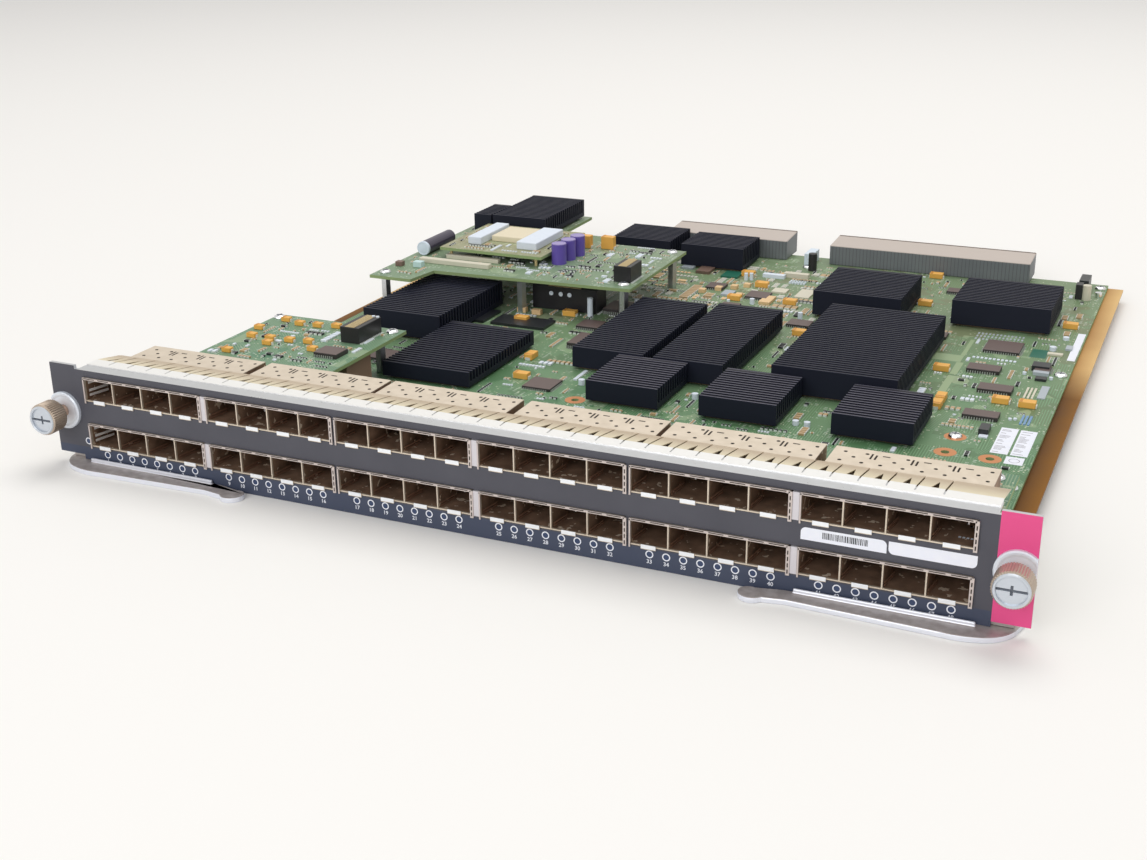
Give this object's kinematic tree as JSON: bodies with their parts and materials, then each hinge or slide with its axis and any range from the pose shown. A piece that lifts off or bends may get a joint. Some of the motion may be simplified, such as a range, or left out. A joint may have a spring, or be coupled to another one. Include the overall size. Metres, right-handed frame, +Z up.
{
  "type": "switch line card",
  "caption": "Switch line card: a tray of circuit boards with heat sinks behind a faceplate of module cages, ejector levers and captive screws.",
  "frame": {"origin": "middle of the bounding box's bottom: on the card's centre plane, half way between the knobs and the backplane connectors, at the level that the levers rest on", "axes": "+X along the faceplate to its coloured ear, +Y back into the chassis, +Z up from the board"},
  "size_m": [0.396, 0.429, 0.043],
  "materials": {
    "tray_chromate": "gold chromate on sheet steel",
    "face_steel": "bright plated sheet steel",
    "overlay_slate": "satin printed foil",
    "label_magenta": "satin printed foil",
    "gasket_metal": "bright spring metal",
    "cage_metal": "tin-plated copper alloy",
    "connector_black": "moulded plastic",
    "board_green": "solder-masked glass epoxy",
    "pin_metal": "tinned brass pins",
    "core_white": "coated ferrite",
    "heat_sink_black": "black anodised aluminium",
    "package_dark": "moulded epoxy",
    "backplane_grey": "moulded plastic with a tan top",
    "post_metal": "plated steel",
    "connector_brown": "moulded plastic",
    "tantalum_yellow": "moulded epoxy",
    "socket_white": "moulded plastic",
    "capacitor_purple": "shrink sleeve",
    "capacitor_dark": "shrink sleeve with a bare metal end",
    "lever_metal": "scuffed plated steel",
    "screw_metal": "nickel-plated steel"
  },
  "bodies": {
    "card": {"carrier_tray": "tray_chromate", "faceplate": "face_steel", "faceplate_overlay": "overlay_slate", "ear_label": "label_magenta", "top_gasket_strip": "gasket_metal", "cage_webs": "gasket_metal", "upper_cage_1": "cage_metal", "upper_cage_2": "cage_metal", "upper_cage_3": "cage_metal", "upper_cage_4": "cage_metal", "upper_cage_5": "cage_metal", "upper_cage_6": "cage_metal", "lower_cage_1": "cage_metal", "lower_cage_2": "cage_metal", "lower_cage_3": "cage_metal", "lower_cage_4": "cage_metal", "lower_cage_5": "cage_metal", "lower_cage_6": "cage_metal", "host_connectors": "connector_black", "main_board": "board_green", "port_board": "board_green", "daughter_board": "board_green", "power_module_board": "board_green", "power_module_pins": "pin_metal", "power_module_cores": "core_white", "heat_sink_front_left": "heat_sink_black", "heat_sink_front_middle": "heat_sink_black", "heat_sink_front_right": "heat_sink_black", "heat_sink_centre": "heat_sink_black", "heat_sink_inner_left": "heat_sink_black", "heat_sink_inner_right": "heat_sink_black", "heat_sink_left_near": "heat_sink_black", "heat_sink_left_far": "heat_sink_black", "heat_sink_right_far": "heat_sink_black", "heat_sink_centre_far": "heat_sink_black", "heat_sink_rear_left": "heat_sink_black", "heat_sink_rear_right": "heat_sink_black", "heat_sink_daughter_near": "heat_sink_black", "heat_sink_daughter_far": "heat_sink_black", "processor_packages": "package_dark", "backplane_connector_left": "backplane_grey", "backplane_connector_right": "backplane_grey", "alignment_sockets": "connector_black", "board_standoffs": "post_metal", "stacking_connector": "connector_brown", "board_screws": "post_metal", "tantalum_capacitors": "tantalum_yellow", "small_chips": "package_dark", "board_sockets": "socket_white", "pin_headers": "connector_black", "purple_capacitors": "capacitor_purple", "bulk_capacitor": "capacitor_dark", "lever_rivets": "lever_metal", "screw_ferrules": "screw_metal"},
    "left_lever": {"ejector_lever_left": "lever_metal"},
    "right_lever": {"ejector_lever_right": "lever_metal"},
    "left_screw_slide": {"retaining_clip_left": "screw_metal"},
    "right_screw_slide": {"retaining_clip_right": "screw_metal"},
    "left_screw_knob": {"captive_screw_left": "screw_metal"},
    "right_screw_knob": {"captive_screw_right": "screw_metal"}
  },
  "joints": [
    {"name": "left_lever_pivot", "type": "hinge", "parent": "card", "child": "left_lever", "pos_m": [-0.1849, -0.1935, 0.001], "axis": [0, 0, 1], "range_deg": [-70, 0]},
    {"name": "right_lever_pivot", "type": "hinge", "parent": "card", "child": "right_lever", "pos_m": [0.1849, -0.1935, 0.001], "axis": [0, 0, 1], "range_deg": [0, 70]},
    {"name": "left_screw_push", "type": "slide", "parent": "card", "child": "left_screw_slide", "axis": [0, 1, 0], "range_m": [0, 0.0028]},
    {"name": "left_screw_turn", "type": "hinge", "parent": "left_screw_slide", "child": "left_screw_knob", "pos_m": [-0.1914, -0.2095, 0.0231], "axis": [0, 1, 0], "continuous": true},
    {"name": "right_screw_push", "type": "slide", "parent": "card", "child": "right_screw_slide", "axis": [0, 1, 0], "range_m": [0, 0.0028]},
    {"name": "right_screw_turn", "type": "hinge", "parent": "right_screw_slide", "child": "right_screw_knob", "pos_m": [0.1914, -0.2095, 0.0231], "axis": [0, 1, 0], "continuous": true}
  ]
}
